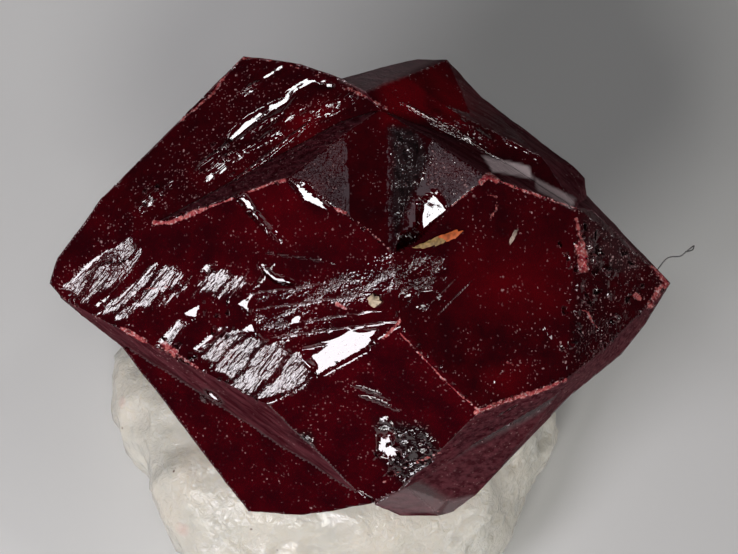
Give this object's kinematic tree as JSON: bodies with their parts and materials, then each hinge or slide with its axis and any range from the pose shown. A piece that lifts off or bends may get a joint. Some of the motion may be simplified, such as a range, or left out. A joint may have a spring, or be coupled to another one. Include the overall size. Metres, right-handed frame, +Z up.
{
  "type": "cinnabar specimen",
  "caption": "Dark red twinned crystal with flat, streaked and stepped faces, held face up on a kneaded lump of white mineral tack.",
  "frame": {"origin": "on the tack's flat underside, straight below the middle of the crystal", "axes": "+Z up from the flat underside; +X along the crystal's long axis, to the right as the crystal faces the viewer; -Y towards the viewer"},
  "size_m": [0.018, 0.014, 0.0132],
  "materials": {
    "cinnabar": "adamantine, deep red and translucent at thin edges, bruised scarlet on the ridges",
    "tack": "waxy off-white putty, softly glossy, finger-kneaded"
  },
  "bodies": {
    "root": {"cinnabar_crystal": "cinnabar", "putty_mount": "tack"}
  },
  "joints": []
}
